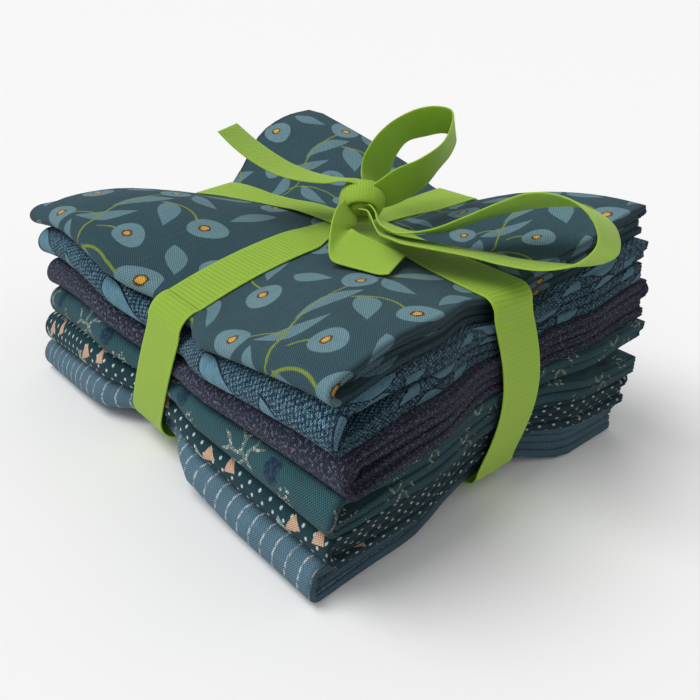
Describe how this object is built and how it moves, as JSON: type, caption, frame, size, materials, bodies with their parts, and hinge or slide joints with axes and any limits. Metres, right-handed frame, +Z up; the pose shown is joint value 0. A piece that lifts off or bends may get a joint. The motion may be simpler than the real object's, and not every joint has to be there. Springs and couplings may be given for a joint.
{
  "type": "fat quarter bundle",
  "caption": "Stack of quilting cotton fat quarters, each folded into a packet, tied like a parcel with grosgrain ribbon in a bow on top.",
  "frame": {"origin": "on the surface the bundle rests on, below the middle of its bounding box, bow included", "axes": "+X towards the side where the folded layers show, -Y towards the front, where each fat quarter shows one fold, +Z up"},
  "size_m": [0.1515, 0.1187, 0.0899],
  "materials": {
    "cotton_floral": "matte plain-weave cotton, dark teal with a floral print",
    "cotton_scallop": "matte plain-weave cotton, mid blue with a tone-on-tone print",
    "cotton_speckle": "matte plain-weave cotton, dark purple-navy speckle",
    "cotton_sprig": "matte plain-weave cotton, teal with pale sprigs",
    "cotton_dot": "matte plain-weave cotton, dark teal with small pale dots",
    "cotton_stripe": "matte plain-weave cotton, slate blue with dashed stripes",
    "ribbon": "ribbed lime-green grosgrain with a low sheen"
  },
  "bodies": {
    "root": {"fat_quarter_1": "cotton_floral", "fat_quarter_2": "cotton_scallop", "fat_quarter_3": "cotton_speckle", "fat_quarter_4": "cotton_sprig", "fat_quarter_5": "cotton_dot", "fat_quarter_6": "cotton_stripe", "ribbon_wrap_front_back": "ribbon", "ribbon_wrap_left_right": "ribbon", "ribbon_knot": "ribbon", "ribbon_loop_back": "ribbon", "ribbon_loop_side": "ribbon", "ribbon_tail_long": "ribbon", "ribbon_tail_short": "ribbon"}
  },
  "joints": []
}
